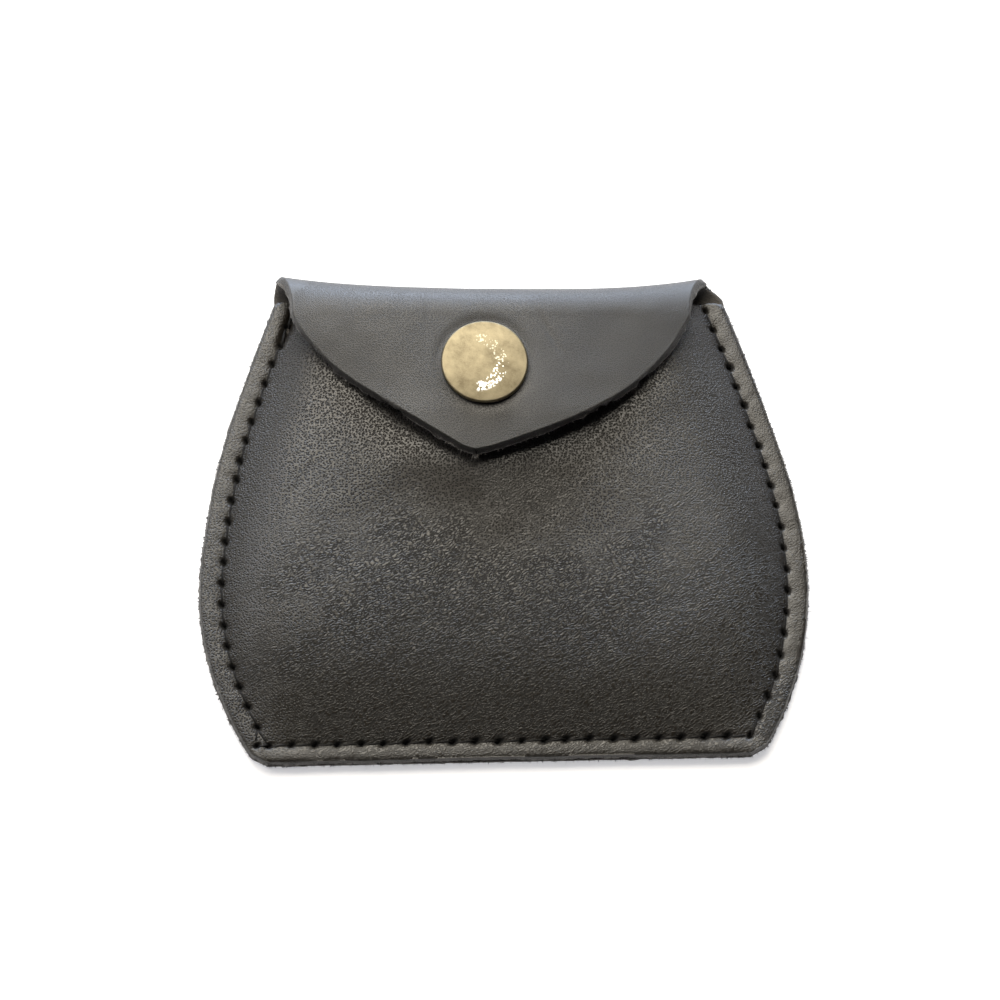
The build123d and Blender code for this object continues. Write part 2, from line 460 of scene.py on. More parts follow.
def slab(name, grain, flesh, flat, materials, roughness, seed, lean, tufted=0.15):
    """A sheet of leather: grain side, flesh side and a cut edge, which leans out below by lean.
    flat holds each point's place on the leather laid flat; roughness is the cut edge's at each point."""
    rows, cols = grain.shape[:2]
    border = ring_of(rows, cols)
    around = tuple(np.array(border).T)
    top, low = grain[around], flesh[around]
    run = np.roll(top, -1, 0) - np.roll(top, 1, 0)
    out = np.cross(run, top - low)
    out /= np.linalg.norm(out, axis=1)[:, None] + 1e-9
    rng = np.random.RandomState(seed)
    rough = roughness[around][:, None]
    low = low + out * lean * rough
    flesh = flesh.copy()
    flesh[around] = low
    layers = []

    def add(places, on_flat, t):
        """One more layer of points, at a share t of the way through the leather; gives their numbers."""
        start = sum(len(layer[0]) for layer in layers)
        count = len(places)
        layers.append((places, np.c_[on_flat, np.full(count, -t * leather)], np.full(count, t)))
        return start + np.arange(count)

    index = add(grain.reshape(-1, 3), flat.reshape(-1, 2), 0.0).reshape(rows, cols)
    faces = grid_quads(index).tolist()
    kinds = [0] * len(faces)

    previous = index[around]
    for k in range(1, EDGE_ROWS + 1):
        t = k / (EDGE_ROWS + 1)
        swell = 0.10 * math.sin(math.pi * t) + 0.05 * t
        jag = rng.normal(0, 1, len(border))
        jag = 0.6 * jag + 0.4 * np.roll(jag, 1)
        tufts = np.maximum(np.convolve(rng.normal(0, 1, len(border) + 2), (0.5, 0.8, 0.5), "valid") - 0.9, 0)
        push = swell + 0.07 * jag * t + tufted * tufts * max(t - 0.4, 0) / 0.6
        now = add(top * (1 - t) + low * t + out * push[:, None] * rough, flat[around], t)
        faces += np.stack([previous, now, np.roll(now, -1), np.roll(previous, -1)], -1).tolist()
        kinds += [1] * len(border)
        previous = now

    ri = np.unique(np.r_[np.arange(0, rows, UNDER_STEP), rows - 1])
    ci = np.unique(np.r_[np.arange(0, cols, UNDER_STEP), cols - 1])
    sparse = np.ix_(ri, ci)
    under = add(flesh[sparse].reshape(-1, 3), flat[sparse].reshape(-1, 2), 1.0).reshape(len(ri), len(ci))
    quads = grid_quads(under)[:, [0, 3, 2, 1]]
    faces += quads.tolist()
    kinds += [2] * len(quads)

    # The edge's last fine row meets the flesh side's coarser border.
    place_in_ring = {b: n for n, b in enumerate(border)}
    coarse = [(ri[i], ci[j], under[i, j]) for i, j in ring_of(len(ri), len(ci))]
    for (i0, j0, a), (i1, j1, b) in zip(coarse, coarse[1:] + coarse[:1]):
        n0, n1 = place_in_ring[(i0, j0)], place_in_ring[(i1, j1)]
        if n1 < n0:
            n1 += len(border)
        fine = [int(previous[n % len(border)]) for n in range(n0, n1 + 1)]
        faces.append([int(a), int(b)] + fine[::-1])
        kinds.append(1)

    points, on_flat, across = (np.concatenate(part) for part in zip(*layers))
    below = np.zeros(len(points) - rows * cols)
    obj = new_mesh(name, points, faces, materials, kinds, {
        "leather_mm": on_flat,
        "edge_t": across,
        # How much painted shade the stitch holes and the seam's groove get; it also makes them rougher.
        "hole_shade_t": np.r_[hole_shade_of(grain), below],
        "calm_t": np.r_[calm_places(grain), below],
    })
    return obj, {"at": top * 0.4 + low * 0.6, "out": out, "normal": top - low}


def calm_places(grid):
    """Where the grain is pressed nearly smooth: the rims, and partly the pocket beside the right one."""
    flat = grid.reshape(-1, 3)
    left, right, bottom = seam_distance(flat[:, 0], flat[:, 1])
    on_left, on_right, on_bottom = (eased((0.8 - d) / 1.2) for d in (left, right, bottom))
    right_rim = 0.72 * on_right * eased((flat[:, 1] - panel_right[0][0] - 6) / 10)
    left_rim = 0.55 * on_left * eased((flat[:, 1] + 30) / 45)
    beside_right = 0.24 * eased((flat[:, 0] - 8) / 26)
    return np.maximum.reduce([right_rim, left_rim, 0.5 * on_bottom, beside_right])


def hole_shade_of(grid):
    """How much painted shade a place gets, from 0 to 1: most in a stitch hole, less as a thin line along the
    seam's groove.
    """
    flat = grid.reshape(-1, 3)
    x, y = flat[:, 0], flat[:, 1]
    # A thin line of painted shade along the seam's groove, below the seam's upper ends.
    line = 0.30 * np.exp(-(inside_seam(x, y) / 0.20) ** 2) * (y < mouth_y - SEAM_END)
    deep = np.maximum(hole_shape(x, y)[0], line)
    return np.where(y < mouth_y, deep, 0) * (flat[:, 2] < rim_top + 0.4)


def tube(path, radius, sides, twist):
    """Points and faces of a closed tube along a path, with its distance along and round it."""
    path = np.asarray(path)
    run = np.gradient(path, axis=0)
    run /= np.linalg.norm(run, axis=1)[:, None]
    side = np.cross(run, [0.13, 0.21, 0.97])
    side /= np.linalg.norm(side, axis=1)[:, None]
    other = np.cross(run, side)
    length = np.r_[0, np.cumsum(np.linalg.norm(np.diff(path, axis=0), axis=1))]
    turns = np.linspace(0, 2 * math.pi, sides, endpoint=False)
    points, flats = [], []
    for p, s, o, d in zip(path, side, other, length):
        for a in turns:
            points.append(p + radius * (s * math.cos(a) + o * math.sin(a)))
            flats.append((d + twist, a * radius, 0))
    faces = []
    for i in range(len(path) - 1):
        for k in range(sides):
            n = (k + 1) % sides
            faces.append([i * sides + k, i * sides + n, (i + 1) * sides + n, (i + 1) * sides + k])
    faces.append(list(range(sides))[::-1])
    faces.append([(len(path) - 1) * sides + k for k in range(sides)])
    return np.array(points), np.array(flats), faces


def joined(name, parts, material):
    """One mesh from several (points, flats, faces)."""
    points = np.vstack([p for p, _, _ in parts])
    flats = np.vstack([f for _, f, _ in parts])
    faces, start = [], 0
    for p, _, fs in parts:
        faces += [[start + i for i in f] for f in fs]
        start += len(p)
    return new_mesh(name, points, faces, [material], [0] * len(faces), {"leather_mm": flats})


def lathe(name, profile, material, centre, segments=128):
    """A closed solid of revolution about +Z. The profile's (radius, z) corners run round its section."""
    profile = np.asarray(profile, float)
    turns = np.linspace(0, 2 * math.pi, segments, endpoint=False)
    points = [
        (centre[0] + r * math.cos(a), centre[1] + r * math.sin(a), z)
        for a in turns for r, z in profile
    ]
    n, faces = len(profile), []
    for s in range(segments):
        t = (s + 1) % segments
        for k in range(n):
            m = (k + 1) % n
            if profile[k][0] < 1e-6 and profile[m][0] < 1e-6:
                continue
            faces.append([s * n + k, t * n + k, t * n + m, s * n + m])
    flats = np.asarray(points) - np.r_[centre, 0]
    obj = new_mesh(name, points, faces, [material], [0] * len(faces), {"leather_mm": flats})
    weld(obj)
    return obj


def weld(obj):
    bm = bmesh.new()
    bm.from_mesh(obj.data)
    bmesh.ops.remove_doubles(bm, verts=bm.verts, dist=1e-7)
    bmesh.ops.dissolve_degenerate(bm, edges=bm.edges, dist=1e-8)
    bmesh.ops.recalc_face_normals(bm, faces=bm.faces)
    bm.to_mesh(obj.data)
    bm.free()


def declare_leather(flat):
    """Finds the border of a piece's places on the leather laid flat, and does nothing more with it."""
    border = np.array([flat[i, j] for i, j in ring_of(*flat.shape[:2])])


# ------ leather pieces

BEND_START_LOW = 31.2
BEND_END_LOW = 33.3
BEND_START_HIGH = 28.65
BEND_ROWS = 24
BEND_STRETCH = 4.2
MOUTH_DIP = 2.6
MOUTH_LIFT = 0.35
TIP_ROUND = 0.7
FRONT_PITCH = 0.21
BACK_PITCH = 0.34
FLAP_PITCH = 0.3
DRAWN_BACK = 0.34
DRAWN_ASIDE = 0.054
FOLD_LEFT = strip_low[0] - 0.90
FOLD_RIGHT = strip_high[0] + 0.35


def within_fold(x):
    return toward_ends(np.clip(x, -FOLD_HALF, FOLD_HALF))


def bend_start(x):
    """Where the back panel starts to bend: later towards its sides, where the fold is pinched."""
    return BEND_START_LOW + (BEND_END_LOW - BEND_START_LOW) * within_fold(x)


def fold_half_height(x):
    return (lower_axis[2] + upper_axis[2] - arch(x)) / 2


def surface_normals(mid):
    by_row = np.gradient(mid, axis=0)
    by_col = np.gradient(mid, axis=1)
    n = np.cross(by_col, by_row)
    return n / np.linalg.norm(n, axis=2)[:, :, None]


def spine_normals(x):
    """Outward at the middle of the fold, where the two leather pieces meet."""
    slope = np.gradient(fold_out(x), x)
    n = np.c_[-slope, np.ones(len(x)), np.zeros(len(x))]
    return n / np.linalg.norm(n, axis=1)[:, None]


def front_piece(materials):
    """The front panel, whose mouth dips in the middle. Gives its cut edge."""
    x, y = panel_grid(mouth_y, FRONT_PITCH)
    share = np.clip((y - 20) / (mouth_y - 20), 0, 1) ** 3
    y = y + (MOUTH_LIFT - (MOUTH_DIP + MOUTH_LIFT) * (1 - within_fold(x))) * share
    edge_x = x + 0 * y
    edge_x[:, 0] += 0.10 + outward_noise(x[:, 0], y[:, 0], 31)
    edge_x[:, -1] -= 0.12 + outward_noise(x[:, -1], y[:, -1], 33)
    y[0] += 0.12 + outward_noise(x[0], y[0], 35)
    x = edge_x
    bottom = np.maximum(belly(x, y) - leather, leather + 0.02)
    grain = np.stack([x, y, front_height(x, y)], -1)
    flesh = np.stack([x, y, bottom], -1)
    flat = grain[:, :, :2]
    obj, edge = slab("front_leather", grain, flesh, flat, materials, np.ones(x.shape), 41, 0.14)
    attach(obj, "pouch")
    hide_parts("front_panel")
    declare_leather(flat)
    return edge


def back_piece(materials):
    """The back panel and the lower half of the fold. Gives its cut edge."""
    x, y = panel_grid(BEND_START_LOW, BACK_PITCH)
    share = np.clip((y - 22) / (BEND_START_LOW - 22), 0, 1) ** 2
    y = y + (bend_start(x) - BEND_START_LOW) * share
    x = np.vstack([columns(left_x(r[0]), right_x(r[-1])) for r in y])
    rows = [(a, b, np.full(len(a), leather / 2), b) for a, b in zip(x, y)]
    for a in np.linspace(0, math.pi / 2, BEND_ROWS + 1)[1:]:
        t = a / (math.pi / 2)
        low = x[-1, 0] + (FOLD_LEFT - x[-1, 0]) * t ** 1.7
        high = x[-1, -1] + (FOLD_RIGHT - x[-1, -1]) * eased((t - 0.15) * 1.3)
        bx = columns(low, high)[0]
        start = bend_start(bx)
        out_y = start + (fold_out(bx) - start) * math.sin(a)
        up_z = leather / 2 + (fold_half_height(bx) - leather / 2) * (1 - math.cos(a))
        rows.append((bx, out_y, up_z, start + BEND_STRETCH * a))
    gx, gy, gz, gs = (np.array(g)[:, ::-1] for g in zip(*rows))
    mid = np.stack([gx, gy, gz], -1)
    n = surface_normals(mid)
    n[-1] = spine_normals(gx[-1])
    bent = np.arange(len(gx))[:, None] >= len(y)
    detail = np.where(bent, 0.0, back_height(gx, gy))
    grain = mid + n * (leather / 2 - detail)[:, :, None]
    flesh = mid - n * (leather / 2)
    rough = np.ones(gx.shape)
    rough[-1] = 0
    flat = np.stack([gx, gs], -1)
    obj, edge = slab("back_leather", grain, flesh, flat, materials, rough, 43, 0.12)
    sharpen_join(obj, (len(gx) - 1) * gx.shape[1], gx.shape[1])
    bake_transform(obj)
    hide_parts("back_panel")
    declare_leather(flat)
    return edge


def flap_piece(materials):
    """The upper half of the fold, and the flap down to its rounded tip. Gives its cut edge."""
    wide = np.array([np.interp(BEND_START_HIGH, *flap_left), np.interp(BEND_START_HIGH, *flap_right)])
    narrow = np.array([FOLD_LEFT, FOLD_RIGHT])
    rows = []
    for a in np.linspace(0, math.pi / 2, BEND_ROWS + 1):
        bx = columns(*(narrow + (wide - narrow) * math.sin(a)))[0]
        straight = np.full(len(bx), BEND_START_HIGH)
        end_y = BEND_START_HIGH + DRAWN_BACK * (upper_axis[2] - flap_middle(bx, straight))
        end_z = flap_middle(bx, end_y)
        out_y = end_y + (fold_out(bx) - end_y) * math.cos(a)
        up_z = fold_half_height(bx) + (end_z - fold_half_height(bx)) * math.sin(a)
        join = bend_start(bx) + BEND_STRETCH * math.pi / 2
        rows.append((bx, out_y, up_z, join + (BEND_START_HIGH - join) * a / (math.pi / 2)))
    tip = flap_low[1]
    down = np.arange(BEND_START_HIGH - FLAP_PITCH, tip + TIP_ROUND, -FLAP_PITCH)
    close = tip + TIP_ROUND * (1 - np.sin(np.linspace(0, math.pi / 2, 7)))
    for y in np.r_[down, close]:
        low, high = np.interp(y, *flap_left), np.interp(y, *flap_right)
        if y < tip + TIP_ROUND:
            middle, half = (low + high) / 2, (high - low) / 2
            half = half * max(1 - ((tip + TIP_ROUND - y) / TIP_ROUND) ** 2, 0.03) ** 0.5
            low, high = middle - half, middle + half
        bx = columns(low, high)[0]
        by = np.full(len(bx), y)
        droop = upper_axis[2] - flap_middle(bx, by)
        to_x = bx + DRAWN_ASIDE * droop * eased((BEND_START_HIGH - y) / 5)
        to_y = by + DRAWN_BACK * droop
        rows.append((to_x, to_y, flap_middle(to_x, to_y), by))
    gx, gy, gz, gs = (np.array(g)[:, ::-1].copy() for g in zip(*rows))
    away = eased((gs - tip - 1) / 4)
    for side, seed, sign in ((0, 51, 1), (-1, 53, -1)):
        uneven = sign * outward_noise(gx[:, side], gy[:, side], seed) * away[:, side]
        gx[BEND_ROWS + 1:, side] += uneven[BEND_ROWS + 1:]
    mid = np.stack([gx, gy, gz], -1)
    n = surface_normals(mid)
    n[0] = spine_normals(gx[0])
    soft = flap_relief(gx, gs) * eased(np.arange(len(gx)) / BEND_ROWS)[:, None]
    grain = mid + n * (leather / 2 + soft)[:, :, None]
    flesh = mid - n * (leather / 2 - soft)[:, :, None]
    rough = np.ones(gx.shape)
    rough[0] = 0
    flat = np.stack([gx, gs], -1)
    obj, edge = slab("flap_leather", grain, flesh, flat, materials, rough, 45, 0.60, 0.20)
    sharpen_join(obj, 0, gx.shape[1])
    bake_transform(obj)
    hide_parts("flap", "fold_strip")
    declare_leather(flat)
    return edge


def flap_relief(x, y):
    """Low waves and creases in the flap; it is pressed flat round the snap."""
    free = 1 - np.exp(-(snap_distance(x, y) / 8.5) ** 4)
    wave = 0.10 * lattice_noise(x, y, 9, 61) + 0.035 * lattice_noise(x, y, 2.8, 63)
    beside = crease(x, y, snap + (9.5, 4.5), -62, 0.13, 0.45, 3.2)
    at_left = crease(x, y, (-11.0, 29.0), 86, 0.10, 0.35, 2.6)
    press = -0.16 * np.exp(-((snap_distance(x, y) - 6.6) / 0.8) ** 2)
    return wave * free + beside + at_left + press


def sharpen_join(obj, first, count):
    """Makes a row of points a hard edge, so that the shading runs on where two leather pieces meet."""
    mesh = obj.data
    pairs = np.zeros(len(mesh.edges) * 2, np.int32)
    mesh.edges.foreach_get("vertices", pairs)
    pairs = pairs.reshape(-1, 2)
    on = ((pairs >= first) & (pairs < first + count)).all(axis=1)
    mesh.attributes.new("sharp_edge", "BOOLEAN", "EDGE").data.foreach_set("value", on)


# ------ threads and fibres

THREAD = 0.20
THREAD_SIDES = 12
FLOOR_GAP = 0.03


def stitch_paths(surface, side, depth):
    """One arched length of thread between each two holes."""
    paths = []
    for first, second in stitch_ends:
        a, b, ta, tb = holes[first], holes[second], along[first], along[second]
        sa, sb = np.array([-ta[1], ta[0]]), np.array([-tb[1], tb[0]])
        t = np.linspace(0, 1, 15)
        start, end = a - side * 0.22 * sa + 0.15 * ta, b + side * 0.22 * sb - 0.15 * tb
        xy = start + (end - start) * t[:, None]
        z = surface(xy[:, 0], xy[:, 1])
        dive = np.exp(-(t / 0.16) ** 2) + np.exp(-((1 - t) / 0.16) ** 2)
        paths.append(np.c_[xy, z - depth * dive * side])
    return paths


def spun(path, phase):
    """A twisted thread: three plies show as a spiral on the tube."""
    points, flats, faces = tube(path, THREAD, THREAD_SIDES, phase)
    centre = np.repeat(np.asarray(path), THREAD_SIDES, axis=0)
    ply = 1 + 0.13 * np.cos(3 * (flats[:, 1] / THREAD) - 5.5 * flats[:, 0])
    return centre + (points - centre) * ply[:, None], flats, faces


def needle_surface(x, y):
    return belly(x, y) - FRONT_GROOVE * seam_line(x, y) - 0.13


def bobbin_surface(x, y):
    return np.full(np.shape(x), THREAD + 0.04)


def threads(material):
    """The needle thread on the front and the bobbin thread on the back."""
    upper = [spun(p, 3.0 * i) for i, p in enumerate(stitch_paths(needle_surface, 1, 0.55))]
    lower = [spun(p, 3.0 * i) for i, p in enumerate(stitch_paths(bobbin_surface, -1, 0.5))]
    for name, parts, node in (
        ("needle_stitches", upper, "needle_thread"), ("bobbin_stitches", lower, "bobbin_thread"),
    ):
        obj = joined(name, parts, material)
        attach(obj, "pouch")
        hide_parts(node)


def fibre(rng, root, out, up, length, width):
    """A tapered, curled hair of leather standing out from a cut edge."""
    side = np.cross(out, up)
    bend = rng.normal(0, 0.7) * side + rng.normal(0, 0.45) * up
    t = np.linspace(0, 1, 5)[:, None]
    path = root + (out * t + bend * t ** 2 * 0.6) * length
    ring = []
    for p, w in zip(path, np.linspace(1, 0.25, 5)):
        for a in (0, 2.1, 4.2):
            ring.append(p + width * w * (side * math.cos(a) + up * math.sin(a)))
    faces = []
    for i in range(4):
        for k in range(3):
            m = (k + 1) % 3
            faces.append([i * 3 + k, i * 3 + m, (i + 1) * 3 + m, (i + 1) * 3 + k])
    faces += [[2, 1, 0], [12, 13, 14]]
    return np.array(ring), np.array(ring), faces


def fibres(name, edge, keep, body, material, count, seed, roots=(-0.45, 0.25), widths=(0.04, 0.11)):
    """Loose hairs along the part of a cut edge that keep picks; one in fifty is long and thin."""
    rng = np.random.RandomState(seed)
    usable = np.flatnonzero(keep(*edge["at"].T))
    parts = []
    for n in rng.choice(usable, count):
        up = edge["normal"][n] / np.linalg.norm(edge["normal"][n])
        long = rng.uniform() < 0.02
        length = rng.uniform(0.5, 1.0) if long else rng.uniform(0.10, 0.42)
        root = edge["at"][n] + up * rng.uniform(*roots)
        width = rng.uniform(0.03, 0.05) if long else rng.uniform(*widths)
        ring, flats, faces = fibre(rng, root, edge["out"][n], up, length, width)
        ring[:, 2] = np.maximum(ring[:, 2], FLOOR_GAP)
        parts.append((ring, flats, faces))
    obj = joined(name, parts, material)
    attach(obj, body)


# ------ materials

def blank_material(name):
    m = bpy.data.materials.new(name)
    m.use_nodes = True
    tree = m.node_tree
    tree.nodes.clear()
    out = tree.nodes.new("ShaderNodeOutputMaterial")
    shader = tree.nodes.new("ShaderNodeBsdfPrincipled")
    tree.links.new(shader.outputs["BSDF"], out.inputs["Surface"])
    return m, tree, shader


def fill(tree, node, inputs):
    """Sets a node's inputs to fixed values, or links them where a socket is given."""
    for key, value in inputs.items():
        if isinstance(value, bpy.types.NodeSocket):
            tree.links.new(value, node.inputs[key])
        else:
            node.inputs[key].default_value = value


def put(tree, kind, inputs, **props):
    node = tree.nodes.new(kind)
    for key, value in props.items():
        setattr(node, key, value)
    fill(tree, node, inputs)
    return node


def maths(tree, operation, a, b=None):
    inputs = {0: a} if b is None else {0: a, 1: b}
    return put(tree, "ShaderNodeMath", inputs, operation=operation).outputs[0]


def plus(tree, a, b, share=None):
    """a and b added, or a and a share of b."""
    return maths(tree, "ADD", a, b if share is None else maths(tree, "MULTIPLY", b, share))


def vectors(tree, operation, a, b):
    key = "Scale" if operation == "SCALE" else 1
    node = put(tree, "ShaderNodeVectorMath", {0: a, key: b}, operation=operation)
    return node.outputs["Value" if operation == "DISTANCE" else 0]


def remap(tree, value, low, high, to_low=0.0, to_high=1.0, smooth=True):
    limits = {"From Min": low, "From Max": high, "To Min": to_low, "To Max": to_high}
    kind = "SMOOTHSTEP" if smooth else "LINEAR"
    node = put(tree, "ShaderNodeMapRange", {"Value": value, **limits}, interpolation_type=kind)
    return node.outputs["Result"]


def ramp(tree, value, stops):
    n = put(tree, "ShaderNodeValToRGB", {"Fac": value})
    e = n.color_ramp.elements
    while len(e) < len(stops):
        e.new(0.5)
    for item, (at, colour) in zip(e, stops):
        item.position = at
        item.color = (*colour, 1)
    return n.outputs["Color"]


def mixed(tree, factor, a, b):
    return put(tree, "ShaderNodeMix", {0: factor, 2: a, 3: b}, data_type="FLOAT").outputs[0]


def mixed_colour(tree, factor, a, b):
    return put(tree, "ShaderNodeMix", {0: factor, 6: a, 7: b}, data_type="RGBA").outputs[2]


def noise(tree, vector, scale, detail=2.0, rough=0.5):
    inputs = {"Vector": vector, "Scale": scale, "Detail": detail, "Roughness": rough}
    return put(tree, "ShaderNodeTexNoise", inputs).outputs["Fac"]


def cells(tree, vector, scale, randomness, dimensions="2D"):
    """Distance from the nearest of some scattered points."""
    inputs = {"Vector": vector, "Scale": scale, "Randomness": randomness}
    node = put(tree, "ShaderNodeTexVoronoi", inputs, feature="F1", voronoi_dimensions=dimensions)
    return node.outputs["Distance"]


def stored(tree, name, output="Fac"):
    return put(tree, "ShaderNodeAttribute", {}, attribute_name=name).outputs[output]


def leather_vector(tree):
    return stored(tree, "leather_mm", "Vector")


def placed(tree, vector, angle=0.0, stretch=(1, 1, 1), move=(0, 0, 0)):
    """A vector turned about Z, then stretched and moved."""
    if angle:
        turn = (0, 0, math.radians(angle))
        vector = put(tree, "ShaderNodeMapping", {"Vector": vector, "Rotation": turn}).outputs["Vector"]
    inputs = {"Vector": vector, "Scale": stretch, "Location": move}
    return put(tree, "ShaderNodeMapping", inputs).outputs["Vector"]


def warped(tree, vector, scale, amount):
    """The same place, pushed about a little, so that the grain isn't even."""
    push = put(tree, "ShaderNodeTexNoise", {"Vector": vector, "Scale": scale, "Detail": 1.0}).outputs["Color"]
    centred = vectors(tree, "SUBTRACT", push, (0.5, 0.5, 0.5))
    return vectors(tree, "ADD", vector, vectors(tree, "SCALE", centred, amount))


def cracks(tree, vector, scale, low, high, bottom=0.0):
    """bottom along winding lines, 1 between them."""
    off_line = maths(tree, "ABSOLUTE", maths(tree, "SUBTRACT", noise(tree, vector, scale, 1.0), 0.5))
    return remap(tree, off_line, low, high, bottom, 1.0)


def dress(tree, shader, colour, rough, height, relief, strength=1.0):
    """Gives a shader its colour and roughness, and a bump of so many millimetres."""
    fill(tree, shader, {"Base Color": colour, "Roughness": rough})
    inputs = {"Height": height, "Strength": strength, "Distance": relief * MM}
    tree.links.new(put(tree, "ShaderNodeBump", inputs).outputs["Normal"], shader.inputs["Normal"])


def pored(tree, vector, spacing, move):
    """Grain: level leather, 1, with round pores in it, 0, joined here and there by short cracks."""
    moved = placed(tree, vector, move=move)
    pores = remap(tree, cells(tree, moved, 1.38 / spacing, 0.85), 0.16, 0.42)
    return maths(tree, "MULTIPLY", pores, cracks(tree, moved, 1.3 / spacing, 0.0, 0.04, 0.45))


def wrinkled(tree, vector, spacing, move, pore_share):
    """Grain: level leather, 1, between winding cracks, 0, with some pores."""
    moved = placed(tree, vector, move=move)
    pores = remap(tree, cells(tree, moved, 1 / spacing, 0.9), 0.12, 0.40)
    lines = cracks(tree, moved, 1.45 / spacing, 0.015, 0.13)
    return maths(tree, "MULTIPLY", mixed(tree, pore_share, 1.0, pores), lines)


def wrinkled_places(tree, at):
    """1 in the lower part of the panel, away from its left side, with a ragged border."""
    side = put(tree, "ShaderNodeSeparateXYZ", {"Vector": at})
    ragged = maths(tree, "MULTIPLY", maths(tree, "SUBTRACT", noise(tree, at, 0.11, 2.0), 0.5), 50.0)
    low = remap(tree, plus(tree, side.outputs["Y"], ragged), 9.0, -9.0)
    off_left = remap(tree, plus(tree, side.outputs["X"], ragged), -38.0, -26.0)
    return maths(tree, "MULTIPLY", low, off_left)


def grain_leather(name, spacing, relief, base, hollow_shade, stretched, smooth):
    """Black aniline leather with a grain of the given spacing and relief in millimetres.
    hollow_shade: how far the grain shows in the colour, as painted shade in its pores and cracks; stretched:
    how far it wrinkles; smooth: roughness if level."""
    m, tree, shader = blank_material(name)
    at = leather_vector(tree)
    pushed = warped(tree, at, 1.3, 0.35 * spacing)
    round_grain = pored(tree, pushed, spacing, (3, 7, 0))
    long_grain = wrinkled(tree, placed(tree, pushed, -32, (0.50, 1.0, 1)), spacing, (11, 2, 0), 0.35)
    patch = wrinkled_places(tree, at)
    grain = mixed(tree, maths(tree, "MULTIPLY", patch, stretched), round_grain, long_grain)
    grain = mixed(tree, stored(tree, "calm_t"), grain, 0.85)
    fine = noise(tree, at, 7.0, 3.0, 0.6)
    folds = noise(tree, placed(tree, warped(tree, at, 0.3, 1.8), -30, (0.35, 1.0, 1)), 0.75, 2.0)
    wear = remap(tree, noise(tree, at, 0.14, 3.0, 0.6), 0.35, 0.7)
    height = maths(tree, "MULTIPLY", grain, mixed(tree, wear, 0.75, 1.1))
    height = maths(tree, "MULTIPLY", height, mixed(tree, patch, 1.0, 1.15))
    height = plus(tree, plus(tree, height, fine, 0.20), folds, 0.7)
    hole = stored(tree, "hole_shade_t")
    # Painted shade in the grain's hollows: the colour is darkest in its pores and cracks and lightest where
    # it is level, and also varies with the wear.
    tone = mixed(tree, hollow_shade, 0.75, maths(tree, "MULTIPLY", grain, mixed(tree, wear, 0.85, 1.0)))
    shades = ((0.0, 0.12), (0.45, 0.75), (1.0, 1.4))
    colour = ramp(tree, tone, [(at_tone, tuple(c * share for c in base)) for at_tone, share in shades])
    # Painted shade: the stitch holes and the line along the seam's groove are darkened nearly to black.
    colour = mixed_colour(tree, remap(tree, hole, 0.06, 0.35), colour, (0.0015, 0.0015, 0.0015, 1))
    rough = plus(tree, remap(tree, tone, 0.1, 0.65, 0.95, smooth, False), wear, 0.05)
    rough = plus(tree, rough, remap(tree, hole, 0.05, 0.3, 0.0, 0.6))
    dress(tree, shader, colour, rough, height, relief)
    fill(tree, shader, {
        "Specular IOR Level": 0.72, "Sheen Weight": 0.06, "Sheen Roughness": 0.35,
        "Sheen Tint": (0.90, 0.90, 1.0, 1),
    })
    return m


def edge_leather():
    """The cut edge: a dyed, burnished band below the grain, then pale fibres."""
    m, tree, shader = blank_material("leather_cut_edge")
    at = leather_vector(tree)
    ragged = noise(tree, at, 1.7, 4.0, 0.65)
    level = plus(tree, stored(tree, "edge_t"), maths(tree, "SUBTRACT", ragged, 0.5), 0.9)
    strands = noise(tree, placed(tree, at, 0, (1, 1, 3.5)), 6.0, 4.0, 0.7)
    fibrous = remap(tree, level, 0.48, 0.88)
    tone = maths(tree, "MULTIPLY", fibrous, remap(tree, strands, 0.36, 0.62, 0.10, 1.0))
    colour = ramp(tree, tone, [
        (0.0, (0.016, 0.0145, 0.013)), (0.35, (0.060, 0.056, 0.052)), (1.0, (0.40, 0.385, 0.37)),
    ])
    rough = remap(tree, fibrous, 0, 1, 0.38, 0.92, False)
    dress(tree, shader, colour, rough, plus(tree, strands, ragged), 0.10)
    return m


def flesh_leather():
    """The suede side, seen inside the pocket and under the flap."""
    m, tree, shader = blank_material("leather_flesh_side")
    at = leather_vector(tree)
    nap = noise(tree, warped(tree, at, 1.2, 0.6), 4.5, 5.0, 0.72)
    strands = noise(tree, placed(tree, at, 35, (0.35, 2.2, 1)), 2.4, 4.0, 0.7)
    tone = plus(tree, maths(tree, "MULTIPLY", nap, 0.5), strands, 0.35)
    tone = plus(tree, tone, noise(tree, at, 0.12, 3.0), 0.35)
    colour = ramp(tree, tone, [
        (0.35, (0.030, 0.027, 0.025)), (0.6, (0.075, 0.068, 0.062)), (0.85, (0.16, 0.146, 0.133)),
    ])
    dress(tree, shader, colour, 0.93, tone, 0.25)
    fill(tree, shader, {"Sheen Weight": 0.25, "Sheen Roughness": 0.6})
    return m


def thread_material():
    """Black waxed thread, a little duller where the wax is thin."""
    m, tree, shader = blank_material("waxed_thread")
    at = leather_vector(tree)
    ply = noise(tree, placed(tree, at, 50, (1, 7, 1)), 3.0, 3.0, 0.6)
    colour = ramp(tree, ply, [(0.3, (0.002, 0.002, 0.002)), (0.75, (0.010, 0.009, 0.009))])
    dress(tree, shader, colour, remap(tree, ply, 0.2, 0.8, 0.62, 0.85), ply, 0.05, 0.8)
    fill(tree, shader, {"Specular IOR Level": 0.3})
    return m


def fibre_material(name, paleness):
    """Loose fibres, dyed at some places and raw at others."""
    m, tree, shader = blank_material(name)
    tone = noise(tree, leather_vector(tree), 0.9, 2.0)
    shades = [(0.3, (0.012, 0.011, 0.010)), (0.55, (0.045, 0.042, 0.040)), (0.75, (0.22, 0.21, 0.20))]
    shades = [(at_tone, tuple(c * paleness for c in colour)) for at_tone, colour in shades]
    fill(tree, shader, {"Base Color": ramp(tree, tone, shades), "Roughness": 0.85})
    return m


